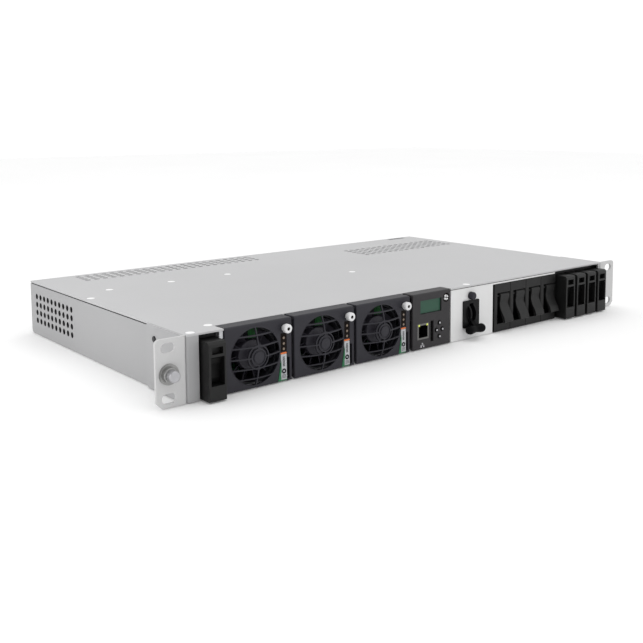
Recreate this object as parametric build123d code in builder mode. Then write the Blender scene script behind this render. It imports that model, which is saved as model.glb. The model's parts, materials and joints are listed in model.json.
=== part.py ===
from build123d import *
import os
from math import atan2, cos, degrees, radians, sin

# A 1U rack-mount DC power system: three plug-in rectifier modules, a controller, a battery switch
# and two rows of circuit breakers in a sheet-metal shelf with rack ears.
# Millimetres. +X to the right seen from the front, +Y to the rear, +Z up. The origin is at the
# bottom, midway between the ears and midway between the frontmost and rearmost points.

# ---- Driving dimensions ----
rack_width = 482.6          # across the ears, 19-inch rack panel
height = 43.6               # one rack unit, less clearance
body_width = 440.0
body_depth = 258.0          # ears' front plane to rear wall
nose = 10.0                 # the small breakers stand this far in front of the ears
skin = 1.2                  # chassis sheet
ear_sheet = 2.0
slot_pitch_x = 465.1        # 19-inch hole spacing
slot_pitch_z = 31.75        # outer holes of one rack unit
slot_width = 6.5
slot_length = 10.0
mid_z = 21.8                # height of the middle of the front

front = -(body_depth - nose) / 2
side = body_width / 2
cover_z = height - skin

# Bays along the front, left to right
module_pitch = 55.8
module_left = -192.3
module_width = 53.6
module_depth = 212.0
controller_left = -24.2
controller_right = 17.2
notch_depth = 11.6          # the cover is cut back over the modules and the controller
bezel_depth = 11.2
face = 2.4                  # thickness of the plastic faceplates
lever_bay_left = 70.2
lever_pitch = 20.6
lever_bodies = 4
small_width = 12.8
small_pitch = 15.9
small_proud = nose
small_left = [-209.8] + [155.0 + small_pitch * i for i in range(4)]


def slab(low, high, mode=Mode.ADD):
    """A box between two opposite corners; Y is counted from the ears' front plane."""
    size = [b - a for a, b in zip(low, high)]
    middle = [(a + b) / 2 for a, b in zip(low, high)]
    with Locations((middle[0], middle[1] + front, middle[2])):
        Box(*size, mode=mode)


def rod_x(y, z, radius, x_from, x_to, mode=Mode.ADD):
    """A round bar along X."""
    with Locations(Location(((x_from + x_to) / 2, front + y, z), (0, 90, 0))):
        Cylinder(radius, x_to - x_from, mode=mode)


def rod_y(x, z, radius, y_from, y_to, mode=Mode.ADD):
    """A round bar along Y."""
    with Locations(Location((x, front + (y_from + y_to) / 2, z), (90, 0, 0))):
        Cylinder(radius, y_to - y_from, mode=mode)


def facing(y):
    """A sketch plane that faces the viewer; local x is X and local y is Z."""
    return Plane.XZ.offset(-(front + y))


def across(x):
    """A sketch plane across the object; local x is Y from the ears' front plane, local y is Z."""
    return Plane.YZ.offset(x).shift_origin((x, front, 0))


os.makedirs("parts", exist_ok=True)


def save(part, name):
    part.label = name
    export_step(part, f"parts/{name}.step")


def save_copy(part, name, x):
    """The same piece, moved along the front and written under its own name."""
    copy = part.moved(Location((x, 0, 0)))
    save(copy, name)


# ---- Base tray: floor, side walls, rear wall and the front columns ----
hole_r = 2.35
hole_pitch_long = 7.75
hole_pitch_short = 6.65
grid_y = 210.25
grid_z = 22.0
bend = 3.0
corner_r = 1.6
groove_depth = 0.7
groove = 0.8
column_left = 9.0
column_right = 3.5
floor_start = 3.0
ac_block = ((-190.0, 240.0, 6.0), (-140.0, body_depth, 34.0))
dc_block = ((60.0, 236.0, 4.0), (210.0, body_depth, 41.8))
block_gap = 0.2
ear_screw_spots = [(37.5, 34.6), (14.0, 26.0), (14.0, 11.0)]
ear_screw_r = 1.3

with BuildPart() as base_tray:
    slab((-side, floor_start, 0), (side, body_depth, skin))
    for wall_x in (-side, side - skin):
        slab((wall_x, 0, 0), (wall_x + skin, body_depth, cover_z))
    slab((-side, body_depth - skin, 0), (side, body_depth, cover_z))
    slab((-side, 0, 0), (-side + column_left, skin, cover_z))
    slab((side - column_right, 0, 0), (side, skin, cover_z))
    corner = base_tray.edges().filter_by(Axis.X).filter_by_position(Axis.Z, -0.01, 0.01)
    fillet(corner.sort_by(Axis.Y)[-1], bend)
    inner = base_tray.edges().filter_by(Axis.X).filter_by_position(Axis.Z, skin - 0.01, skin + 0.01)
    fillet(inner.sort_by(Axis.Y)[-1], bend - skin)
    outer = base_tray.edges().filter_by(Axis.Z).group_by(Axis.Y)[0].sort_by(Axis.X)
    fillet([outer[0], outer[-1]], corner_r)
    for wall_x in (-side - 1, side - groove_depth):
        slab((wall_x, 2, cover_z - groove), (wall_x + 1 + groove_depth, body_depth, cover_z), mode=Mode.SUBTRACT)
    with BuildSketch(across(-side)):
        with Locations((grid_y, grid_z)):
            with GridLocations(hole_pitch_long, hole_pitch_short, 10, 4):
                Circle(hole_r)
    extrude(amount=body_width, mode=Mode.SUBTRACT)
    for low, high in (ac_block, dc_block):
        slab((low[0] - block_gap, body_depth - skin - 1, low[2] - block_gap),
             (high[0] + block_gap, body_depth + 1, high[2] + block_gap), mode=Mode.SUBTRACT)
    for spot_y, spot_z in ear_screw_spots:
        for wall_x in (-side, side - skin):
            rod_x(spot_y, spot_z, ear_screw_r, wall_x - 1, wall_x + skin + 1, mode=Mode.SUBTRACT)
save(base_tray.part, "base_tray")

# ---- Top cover: two vent fields, the front notch and a rear slot ----
notch_left = module_left - 0.3
notch_right = controller_right + 0.6
rivet_r = 3.2
rivet_spots = [(-187.9 + 54.9 * i, 176.3) for i in range(3)]
rivet_spots += [(-194.5, 16.1), (41.4, 5.4), (-214.0, 152.4), (-214.0, 5.3), (11.5, 113.9)]

with BuildPart() as top_cover:
    slab((-side, 0, cover_z), (side, body_depth, height))
    slab((notch_left, -1, cover_z - 1), (notch_right, notch_depth, height + 1), mode=Mode.SUBTRACT)
    with BuildSketch(Plane.XY.offset(height)):
        with Locations((-97, front + 239)):
            with GridLocations(hole_pitch_long, hole_pitch_short, 23, 4):
                Circle(hole_r)
        with Locations((148, front + 200)):
            with GridLocations(hole_pitch_long, hole_pitch_short, 16, 6):
                Circle(hole_r)
        with Locations((194.5, front + 253)):
            SlotOverall(25, 6)
        with Locations([(x, front + y) for x, y in rivet_spots]):
            Circle(rivet_r)
    extrude(amount=-skin, mode=Mode.SUBTRACT)
save(top_cover.part, "top_cover")

with BuildPart() as cover_rivets:
    with BuildSketch(Plane.XY.offset(cover_z)):
        with Locations([(x, front + y) for x, y in rivet_spots]):
            Circle(rivet_r)
    extrude(amount=skin)
    chamfer(cover_rivets.faces().group_by(Axis.Z)[-1].edges(), 0.3)
save(cover_rivets.part, "cover_rivets")

# ---- Rack ears ----
ear_leg = 49.0
slot_x = slot_pitch_x / 2
ear_edge = rack_width / 2
ground_x = -slot_x
ground_z = mid_z - 0.6
ground_shank_r = 2.5

with BuildPart() as right_ear:
    with BuildSketch(facing(ear_sheet)):
        with BuildLine():
            Polyline((side, 0), (ear_edge - 4, 0), (ear_edge, 4), (ear_edge, height - 3))
            RadiusArc((ear_edge, height - 3), (ear_edge - 3, height), -3)
            Polyline((ear_edge - 3, height), (side, height), (side, 0))
        make_face()
        with Locations((slot_x, mid_z)):
            with GridLocations(1, slot_pitch_z, 1, 2):
                SlotOverall(slot_length, slot_width, mode=Mode.SUBTRACT)
    extrude(amount=ear_sheet)
    slab((side, 0, 0), (side + ear_sheet, ear_leg, height))
    inner_bend = right_ear.edges().filter_by(Axis.Z).filter_by_position(
        Axis.X, side + ear_sheet - 0.01, side + ear_sheet + 0.01)
    fillet(inner_bend.sort_by(Axis.Y)[0], 1.5)
    outer_bend = right_ear.edges().filter_by(Axis.Z).filter_by_position(Axis.X, side - 0.01, side + 0.01)
    fillet(outer_bend.sort_by(Axis.Y)[0], corner_r)
    leg_end = right_ear.edges().filter_by(Axis.X).group_by(Axis.Y)[-1]
    fillet(leg_end, 3.0)
    for spot_y, spot_z in ear_screw_spots:
        rod_x(spot_y, spot_z, ear_screw_r + 0.1, side - 1, side + ear_sheet + 1, mode=Mode.SUBTRACT)
save(right_ear.part, "right_rack_ear")

with BuildPart() as left_ear:
    add(mirror(right_ear.part, about=Plane.YZ, mode=Mode.PRIVATE))
    rod_y(ground_x, ground_z, ground_shank_r + 0.3, -1, ear_sheet + 1, mode=Mode.SUBTRACT)
save(left_ear.part, "left_rack_ear")

screw_head_r = 2.1
screw_head = 0.8
with BuildPart() as ear_screws:
    for spot_y, spot_z in ear_screw_spots:
        for sign in (-1, 1):
            seat = sign * (side + ear_sheet)
            tip = sign * (side - skin - 1.5)
            head = sign * (side + ear_sheet + screw_head)
            rod_x(spot_y, spot_z, ear_screw_r, min(seat, tip), max(seat, tip))
            rod_x(spot_y, spot_z, screw_head_r, min(seat, head), max(seat, head))
    rims = ear_screws.edges().filter_by(GeomType.CIRCLE)
    fillet(rims.group_by(Axis.X)[-1] + rims.group_by(Axis.X)[0], 0.4)
save(ear_screws.part, "ear_screws")

# ---- Ground screw on the left ear ----
washer_r = 6.6
washer = 1.3
spring_r = 5.0
spring_end = 4.2
ground_head_r = 3.7
ground_nose = 8.8
with BuildPart() as ground_screw:
    rod_y(ground_x, ground_z, ground_head_r, -ground_nose, -spring_end)
    tip_edge = ground_screw.edges().filter_by(GeomType.CIRCLE).sort_by(Axis.Y)[0]
    fillet(tip_edge, 1.0)
    rod_y(ground_x, ground_z, ground_shank_r, -spring_end, 11)
save(ground_screw.part, "ground_screw")

nut_start = ear_sheet
nut_end = ear_sheet + 4
with BuildPart() as ground_washers:
    rod_y(ground_x, ground_z, washer_r, -washer, 0)
    rod_y(ground_x, ground_z, spring_r, -spring_end, -washer)
    rims = ground_washers.edges().filter_by(GeomType.CIRCLE).group_by(Axis.Y)
    fillet(rims[0], 0.5)
    rod_y(ground_x, ground_z, ground_shank_r, -spring_end - 1, 1, mode=Mode.SUBTRACT)
save(ground_washers.part, "ground_washers")

with BuildPart() as ground_nut:
    with BuildSketch(facing(nut_end)):
        with Locations((ground_x, ground_z)):
            RegularPolygon(4.6, 6)
            Circle(ground_shank_r, mode=Mode.SUBTRACT)
    extrude(amount=nut_end - nut_start)
save(ground_nut.part, "ground_nut")

# ---- Bay dividers: thin walls with a foot on the floor ----
divider = 1.0
divider_top = 42.2
divider_foot = 5.0
divider_x = [module_left - 3.0] + [module_left + module_pitch * i - 1.6 for i in (1, 2)]
divider_x += [controller_left - 1.85, controller_right + 0.3]
with BuildPart() as bay_dividers:
    for x in divider_x:
        slab((x, floor_start + 1, skin), (x + divider, module_depth, divider_top))
        slab((x - divider_foot, 60, skin), (x, module_depth, skin + 0.8))
    tab_x = divider_x[0]
    slab((tab_x, 1.0, divider_top - 5), (tab_x + 2.6, 2.0, divider_top))
    slab((tab_x, 1.0, divider_top - 5), (tab_x + divider, floor_start + 1, divider_top))
save(bay_dividers.part, "bay_dividers")

# ---- Backplane with the modules' sockets ----
backplane_y = 218.0
with BuildPart() as backplane_board:
    slab((module_left, backplane_y, 3), (controller_right - 2, backplane_y + 1.6, 40))
    for i in range(3):
        x = module_left + module_pitch * i + module_width / 2
        slab((x - 18, backplane_y + 1.6, 8), (x + 18, backplane_y + 9, 22))
save(backplane_board.part, "backplane_board")

# ---- Rear terminal blocks with wire entries ----
entry = (8.0, 14.0, 9.0)


def entries(block, count):
    """The middles of a row of wire entries along a terminal block."""
    step = (block[1][0] - block[0][0]) / count
    return [block[0][0] + step * (i + 0.5) for i in range(count)]


ac_entries = entries(ac_block, 3)
dc_entries = entries(dc_block, 6)
entry_z = 14.0

for block, holes, name in ((ac_block, ac_entries, "ac_terminal_block"), (dc_block, dc_entries, "dc_terminal_block")):
    with BuildPart() as terminal_block:
        slab(*block)
        for x in holes:
            slab((x - entry[0] / 2, body_depth - entry[1], entry_z - entry[2] / 2),
                 (x + entry[0] / 2, body_depth + 1, entry_z + entry[2] / 2), mode=Mode.SUBTRACT)
            rod_y(x, entry_z + 12, 2.6, body_depth - 5, body_depth + 1, mode=Mode.SUBTRACT)
    save(terminal_block.part, name)

# ---- Distribution panel: silver sheet with the switch cut-out and a strip over the breakers ----
panel_left = controller_right + 0.7
panel_sheet = 1.5
plain_right = 68.0
strip_right = 151.2
strip_z = 40.7
panel_top = cover_z - 0.5
switch_x = 40.8
switch_z = 20.4
switch_width = 18.6
switch_height = 22.2
knob_x = 40.7
knob_z = 35.2
cut_margin = 1.4

with BuildPart() as distribution_panel:
    slab((panel_left, 0, 0), (plain_right, panel_sheet, panel_top))
    slab((panel_left, 0, strip_z), (strip_right, panel_sheet, panel_top))
    slab((switch_x - switch_width / 2 + cut_margin, -1, switch_z - switch_height / 2 + cut_margin),
         (switch_x + switch_width / 2 - cut_margin, 3, switch_z + switch_height / 2 - cut_margin),
         mode=Mode.SUBTRACT)
    rod_y(knob_x, knob_z, 2.0, -1, 3, mode=Mode.SUBTRACT)
save(distribution_panel.part, "distribution_panel")

knob_r = 3.2
with BuildPart() as panel_knob:
    rod_y(knob_x, knob_z, knob_r, -4.4, -0.3)
    fillet(panel_knob.edges().filter_by(GeomType.CIRCLE).sort_by(Axis.Y)[0], 1.5)
    rod_y(knob_x, knob_z, 1.6, -0.3, 7)
save(panel_knob.part, "panel_knob")

# ---- Battery switch: bezel, two curved shrouds and a T lever ----
pivot_y = 5.0
shroud_r = 9.2
stem_width = 3.8
stem_half = 1.7
shroud = 1.5
lever_gap = 0.35
bezel = 1.2
bar_y = -5.8
bar_z = 8.6
bar_r = 2.8
lobe_r = 3.6
bar_half = 10.4

with BuildPart() as battery_switch:
    slab((switch_x - switch_width / 2, -bezel, switch_z - switch_height / 2),
         (switch_x + switch_width / 2, 0, switch_z + switch_height / 2))
    fillet(battery_switch.edges().filter_by(Axis.Y), 1.0)
    slab((switch_x - switch_width / 2 + cut_margin + 0.2, 0, switch_z - switch_height / 2 + cut_margin + 0.2),
         (switch_x + switch_width / 2 - cut_margin - 0.2, 42, switch_z + switch_height / 2 - cut_margin - 0.2))
    shroud_x = stem_width / 2 + lever_gap + shroud
    rod_x(pivot_y, switch_z, shroud_r, switch_x - shroud_x, switch_x + shroud_x)
    half_slot = stem_width / 2 + lever_gap
    slab((switch_x - half_slot, -9, switch_z - 9.7), (switch_x + half_slot, 10.5, switch_z + 8.5),
         mode=Mode.SUBTRACT)
    rod_x(pivot_y, switch_z, 1.25, switch_x - half_slot - 2, switch_x + half_slot + 2, mode=Mode.SUBTRACT)
save(battery_switch.part, "battery_switch_body")

with BuildPart() as battery_lever:
    rod_x(pivot_y, switch_z, 4.6, switch_x - stem_width / 2, switch_x + stem_width / 2)
    reach = Vector(bar_y - pivot_y, bar_z - switch_z)
    with BuildSketch(across(switch_x - stem_width / 2)):
        with Locations(Location((pivot_y + reach.X / 2, switch_z + reach.Y / 2, 0),
                                (0, 0, degrees(atan2(reach.Y, reach.X))))):
            Rectangle(reach.length, 2 * stem_half)
    extrude(amount=stem_width)
    with BuildSketch(Plane.XY.offset(bar_z)):
        with BuildLine():
            lobe = switch_x + bar_half - lobe_r
            waist = Spline((switch_x - bar_half + lobe_r, front + bar_y - lobe_r), (switch_x, front + bar_y - bar_r),
                           (lobe, front + bar_y - lobe_r), tangents=[(1, 0), (1, 0)])
            diagonal = lobe_r * cos(radians(45))
            end = ThreePointArc(waist @ 1, (lobe + diagonal, front + bar_y - diagonal), (lobe + lobe_r, front + bar_y))
            Line(end @ 1, (switch_x - bar_half, front + bar_y))
            start = switch_x - bar_half + lobe_r
            ThreePointArc((switch_x - bar_half, front + bar_y), (start - diagonal, front + bar_y - diagonal), waist @ 0)
        make_face()
    revolve(axis=Axis((switch_x, front + bar_y, bar_z), (1, 0, 0)))
    rod_x(pivot_y, switch_z, 1.2, switch_x - half_slot - 1.6, switch_x + half_slot + 1.6)
save(battery_lever.part, "battery_switch_lever")

# ---- Levered breakers: bodies with a deep finger recess, and swing-out levers ----
lever_width = 20.3
recess_left = 3.6
recess_right = 19.6
recess_low = 6.5
recess_high = 32.7
recess_depth = 13.0
strap_left = 8.1
strap_right = 19.2
hinge_y = 2.5
hinge_z = 29.8
hinge_r = 2.4
pin_r = 1.0
pin_gap = 0.05
lever_top = 40.6

with BuildPart() as lever_breaker:
    slab((0, 0, 0), (lever_width, floor_start - 0.3, lever_top))
    slab((0, floor_start - 0.3, skin + 0.2), (lever_width, 58, lever_top))
    chamfer(lever_breaker.edges().group_by(Axis.Y)[0], 0.3)
    slab((recess_left, -1, recess_low), (recess_right, recess_depth, recess_high), mode=Mode.SUBTRACT)
    rod_x(hinge_y, hinge_z, pin_r + pin_gap, recess_left - 1, recess_right + 0.6, mode=Mode.SUBTRACT)

with BuildPart() as breaker_lever:
    with BuildSketch(across(strap_left)):
        with BuildLine():
            outer = Spline((0.15, hinge_z), (0.9, 22.5), (-2.6, 14.5), (-4.8, 9.6),
                           tangents=[(0, -1), (-0.2, -1)])
            tip = ThreePointArc(outer @ 1, (-4.3, 7.6), (-2.6, 8.2))
            inner_side = Spline(tip @ 1, (-0.1, 15.4), (3.4, 22.3), (4.85, hinge_z),
                                tangents=[(0.3, 1), (0, 1)])
            Line(inner_side @ 1, outer @ 0)
        make_face()
        with Locations((hinge_y, hinge_z)):
            Circle(hinge_r)
    extrude(amount=strap_right - strap_left)
    rod_x(hinge_y, hinge_z, pin_r, recess_left - 0.8, recess_right + 0.4)

bodies = [lever_breaker.part.moved(Location((lever_bay_left + lever_pitch * i, 0, 0)))
          for i in range(lever_bodies)]
save(Compound(children=bodies), "lever_breaker_bodies")
for i in range(lever_bodies):
    save_copy(breaker_lever.part, f"breaker_lever_{i + 1}", lever_bay_left + lever_pitch * i)

# ---- Small breakers: bodies that stand proud, each with a status window and a rocker ----
small_low = 0.5
small_high = 38.7
window_low = 10.5
window_high = 29.0
window_width = 9.8
rocker_y = -3.4
rocker_z = (window_low + window_high) / 2
rocker_r = 8.5
rocker_tilt = 10.0
rocker_width = 9.2
small_mid = small_width / 2

with BuildPart() as small_breaker:
    slab((0, -small_proud, small_low), (small_width, floor_start - 0.3, small_high))
    slab((0, floor_start - 0.3, skin + 0.2), (small_width, 55, small_high))
    front_rim = small_breaker.edges().filter_by(Axis.X).group_by(Axis.Y)[0]
    chamfer(front_rim.sort_by(Axis.Z)[-1], 1.5)
    chamfer(front_rim.sort_by(Axis.Z)[0], 0.5)
    fillet(small_breaker.edges().filter_by(Axis.Z).group_by(Axis.Y)[0], 0.5)
    slab((small_mid - window_width / 2, -small_proud - 1, window_low),
         (small_mid + window_width / 2, rocker_y + rocker_r + 0.4, window_high), mode=Mode.SUBTRACT)
    slab((small_mid - 4.0, -small_proud - 1, 30.8), (small_mid + 4.0, -small_proud + 4.0, 35.3),
         mode=Mode.SUBTRACT)
    rod_x(rocker_y, rocker_z, pin_r + pin_gap, small_mid - 5.9, small_mid + 5.9, mode=Mode.SUBTRACT)

with BuildPart() as breaker_rocker:
    with BuildSketch(across(small_mid - rocker_width / 2)):
        with Locations(Location((rocker_y, rocker_z, 0), (0, 0, rocker_tilt))):
            Circle(rocker_r)
            with Locations((-8.4, 0)):
                Rectangle(13, 20, mode=Mode.SUBTRACT)
            with Locations((8.3, 0)):
                Rectangle(10, 20, mode=Mode.SUBTRACT)
            with Locations((-19.8, 0)):
                Circle(18.6, mode=Mode.SUBTRACT)
    extrude(amount=rocker_width)
    rod_x(rocker_y, rocker_z, pin_r, small_mid - 5.7, small_mid + 5.7)

bodies = [small_breaker.part.moved(Location((x, 0, 0))) for x in small_left]
save(Compound(children=bodies), "small_breaker_bodies")
for i, x in enumerate(small_left):
    save_copy(breaker_rocker.part, f"breaker_rocker_{i + 1}", x)

# Plates behind the small breakers, with a cut-out for each body
plate_y = 5.0
plate_gap = 0.15
bays = [((-211.0, divider_x[0] - 0.2), small_left[:1]), ((152.9, side - column_right), small_left[1:])]
with BuildPart() as breaker_plates:
    for (left, right), bodies_x in bays:
        slab((left, plate_y, skin), (right, plate_y + 1.5, divider_top))
        for x in bodies_x:
            slab((x - plate_gap, plate_y - 1, small_low - plate_gap),
                 (x + small_width + plate_gap, plate_y + 3, small_high + plate_gap), mode=Mode.SUBTRACT)
save(breaker_plates.part, "breaker_mount_plates")

# ---- Rectifier module, built at its own left edge and copied into three bays ----
fan_x = 23.8
fan_z = 21.5
guard_r = 20.0
dome = 4.6
bar = 0.9
guard_sheet = 1.3
bar_step = 7.2
hub_ring = 8.2
hub_disc = 5.9
hub_cap = 3.8
ring_width = 0.8
handle_left = 44.3
handle_right = 49.3
pocket_left = 44.05
pocket_right = 49.55
pocket_top = 20.5
slot_right = 51.5
slot_low = 1.6
slot_high = 16.4
wing = 2.3
wing_top = 15.0
wing_back = 1.2
pocket_wall = 0.8
pocket_depth = 6.0
handle_y = 1.3
handle_z = 17.6
handle_round = 2.5
handle_pin_r = 0.8
handle_pin_end = 0.6
screw_x = 47.2
screw_z = 37.1
light_low = 20.9
light_high = 33.4
housing_wall = 0.6
housing_low = 2.2
housing_high = 41.4
dome_r = (guard_r ** 2 + dome ** 2) / (2 * dome)

# The guard: a domed shell cut to its rim, bars and hub ring
with BuildPart() as fan_guard:
    with BuildSketch(Plane.YZ.offset(fan_x).shift_origin((fan_x, front, fan_z))):
        with Locations((dome_r - dome, 0)):
            Circle(dome_r)
            Circle(dome_r - guard_sheet, mode=Mode.SUBTRACT)
        with Locations((dome_r + 1.0, 0)):
            Rectangle(2 * dome_r, 3 * dome_r, mode=Mode.SUBTRACT)
        with Locations((0, -dome_r)):
            Rectangle(4 * dome_r, 2 * dome_r, mode=Mode.SUBTRACT)
    revolve(axis=Axis((fan_x, front, fan_z), (0, 1, 0)))
    with BuildSketch(facing(6)):
        with Locations((fan_x, fan_z)):
            Circle(guard_r + 1)
            Circle(guard_r - 0.7, mode=Mode.SUBTRACT)
            Circle(hub_ring)
            Circle(hub_ring - ring_width, mode=Mode.SUBTRACT)
            Circle(hub_disc)
            with GridLocations(1, bar_step, 1, 5):
                Rectangle(2 * guard_r + 2, bar)
            Rectangle(bar, 2 * guard_r + 2)
    extrude(amount=20, mode=Mode.INTERSECT)
    with BuildSketch(facing(-dome + guard_sheet - 0.5)):
        with Locations((fan_x, fan_z)):
            Circle(hub_disc - ring_width)
            Circle(hub_cap, mode=Mode.SUBTRACT)
    extrude(amount=10, mode=Mode.SUBTRACT)

with BuildPart() as faceplate:
    slab((0, 0, 0.3), (module_width, face, height))
    slab((0, 0, height - 1.8), (module_width, bezel_depth, height))
    top_front = faceplate.edges().filter_by(Axis.X).filter_by_position(Axis.Z, height - 0.01, height + 0.01)
    fillet(top_front.sort_by(Axis.Y)[0], 1.6)
    fillet(faceplate.edges().filter_by(Axis.Z).group_by(Axis.Y)[0], 0.7)
    slab((pocket_left - pocket_wall, face, housing_low + housing_wall + 0.1),
         (slot_right + pocket_wall, pocket_depth, pocket_top + 0.8))
    rod_y(fan_x, fan_z, guard_r, -1, face + 1, mode=Mode.SUBTRACT)
    add(fan_guard.part)
    slab((pocket_left, -1, 0), (pocket_right, pocket_depth + 1, pocket_top), mode=Mode.SUBTRACT)
    slab((pocket_right - 1, -1, slot_low), (slot_right, pocket_depth + 1, slot_high), mode=Mode.SUBTRACT)
    with BuildSketch(facing(wing_back + 0.3)):
        Polygon((pocket_left + 0.1, wing_top + 0.5), (handle_left - wing - 0.4, -0.5), (pocket_left + 0.1, -0.5),
                align=None)
    extrude(amount=5, mode=Mode.SUBTRACT)
    slab((handle_left, -1, light_low), (handle_right, 0.6, light_high), mode=Mode.SUBTRACT)
    rod_y(screw_x, screw_z, 2.0, -1, face + 1, mode=Mode.SUBTRACT)
    rod_x(handle_y, handle_z, handle_pin_r + pin_gap, pocket_left - handle_pin_end - 0.05,
          pocket_right + handle_pin_end + 0.05, mode=Mode.SUBTRACT)

with BuildPart() as housing:
    slab((0.6, face, housing_low), (module_width - 0.6, module_depth, housing_high))
    slab((0.6 + housing_wall, 0, housing_low + housing_wall),
         (module_width - 0.6 - housing_wall, module_depth - housing_wall, housing_high - housing_wall),
         mode=Mode.SUBTRACT)
    with BuildSketch(facing(module_depth)):
        with Locations((module_width / 2, 31)):
            with GridLocations(5.0, 5.0, 9, 3):
                Circle(1.7)
        with Locations((module_width / 2, 15)):
            Rectangle(36.4, 10.4)
    extrude(amount=3, mode=Mode.SUBTRACT)

fan_half = 18.6
fan_start = 3.5
fan_depth = 15.0
fan_bore = 18.2
motor_r = 8.4
with BuildPart() as fan_frame:
    slab((fan_x - fan_half, fan_start, fan_z - fan_half), (fan_x + fan_half, fan_start + fan_depth, fan_z + fan_half))
    fillet(fan_frame.edges().filter_by(Axis.Y), 2.0)
    rod_y(fan_x, fan_z, fan_bore, 0, 30, mode=Mode.SUBTRACT)
    with BuildSketch(facing(fan_start + fan_depth)):
        with Locations((fan_x, fan_z)):
            Circle(motor_r)
            Rectangle(2 * fan_bore + 1, 2.4)
            Rectangle(2.4, 2 * fan_bore + 1)
            Circle(1.05, mode=Mode.SUBTRACT)
    extrude(amount=2.0)
    with BuildSketch(facing(fan_start + fan_depth)):
        with Locations((fan_x, fan_z)):
            with GridLocations(32, 32, 2, 2):
                Circle(1.5)
    extrude(amount=fan_depth, mode=Mode.SUBTRACT)

blades = 7
blade_r = 17.4
rotor_r = 8.0
rotor_start = fan_start + 1.2
rotor_end = fan_start + fan_depth - 2.8
with BuildPart() as fan_rotor:
    rod_y(fan_x, fan_z, rotor_r, rotor_start, rotor_end)
    fillet(fan_rotor.edges().filter_by(GeomType.CIRCLE).group_by(Axis.Y)[0], 1.0)
    rod_y(fan_x, fan_z, 5.2, rotor_start - 0.4, rotor_start + 1)
    rod_y(fan_x, fan_z, 1.0, rotor_end - 1, fan_start + fan_depth - 0.3)
    for i in range(blades):
        turn = radians(360 / blades * i)
        out = Vector(cos(turn), 0, sin(turn))
        root_y = front + (rotor_start + rotor_end) / 2
        root = Vector(fan_x, root_y, fan_z) + out * (rotor_r - 1.5)
        with BuildSketch(Plane(origin=root, x_dir=(0, 1, 0), z_dir=out)):
            with BuildLine():
                concave = ThreePointArc((-4.6, -4.0), (-1.2, 1.2), (4.6, 4.4))
                convex = ThreePointArc((4.6, 4.4), (-0.4, 0.4), (-4.6, -4.0))
            make_face()
        extrude(amount=blade_r - rotor_r + 0.7)

with BuildPart() as thumbscrew:
    rod_y(screw_x, screw_z, 3.1, -5.6, -1.8)
    chamfer(thumbscrew.edges().filter_by(GeomType.CIRCLE).group_by(Axis.Y)[0], 0.7)
    with BuildSketch(facing(-5.6)):
        with Locations((screw_x, screw_z)):
            RegularPolygon(1.2, 6)
    extrude(amount=-1.8, mode=Mode.SUBTRACT)
    rod_y(screw_x, screw_z, 2.3, -1.8, -0.3)
    rod_y(screw_x, screw_z, 1.6, -0.3, 9)

with BuildPart() as handle:
    with BuildSketch(across(handle_left)):
        with BuildLine():
            back = (handle_y + handle_round, handle_z)
            top = (handle_y, handle_z + handle_round)
            shoulder = (handle_y + handle_round * cos(radians(45)), handle_z + handle_round * sin(radians(45)))
            Polyline((0.3, 19.8), (0.0, 1.2), (0.4, 0.5), (1.6, 0.5), (2.2, 6.0), (3.4, 14.0), back)
            ThreePointArc(back, shoulder, top)
            Line(top, (0.3, 19.8))
        make_face()
    extrude(amount=handle_right - handle_left)
    with BuildSketch(facing(wing_back)):
        Polygon((handle_left + 0.5, wing_top), (handle_left - wing, 0.6), (handle_left + 0.5, 0.6), align=None)
    extrude(amount=wing_back + 0.1)
    rod_x(handle_y, handle_z, handle_pin_r, pocket_left - handle_pin_end, pocket_right + handle_pin_end)

board_z = 7.0
board_y = 24.0
with BuildPart() as board:
    slab((3, board_y, board_z), (module_width - 3, module_depth - 3, board_z + 1.6))
    slab((5, board_y + 2, board_z), (27, board_y + 3.6, 39))
    slab((6, 40, board_z), (18, 190, 34))
    slab((36, 40, board_z), (46, 190, 34))
    for coil_y in (62, 108, 154):
        slab((20, coil_y - 15, board_z), (34, coil_y + 15, 30))
    slab((module_width / 2 - 17.5, module_depth - 12, board_z), (module_width / 2 + 17.5, module_depth - 3, 19.6))
    slab((module_width / 2 - 17.5, module_depth - 3, 10.2), (module_width / 2 + 17.5, module_depth + 5.5, 19.6))

module_parts = [(faceplate, "faceplate"), (housing, "housing"), (fan_frame, "fan_frame"),
                (fan_rotor, "fan_rotor"), (thumbscrew, "thumbscrew"), (handle, "handle"), (board, "board")]
for i in range(3):
    for piece, name in module_parts:
        save_copy(piece.part, f"module_{i + 1}_{name}", module_left + module_pitch * i)

# ---- Controller ----
lcd_low = (-15.9, 27.5)
lcd_high = (7.1, 38.0)
jack_x = -12.7
jack_z = 13.8
jack_opening = 9.6
jack_outer = 12.4
jack_depth = 12.0
button_spots = {"up": (4.9, 18.2), "down": (4.9, 7.4), "left": (1.7, 12.8), "right": (8.1, 12.8)}
button_r = 1.6
controller_screw_x = 12.3
controller_screw_z = 37.4

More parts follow.
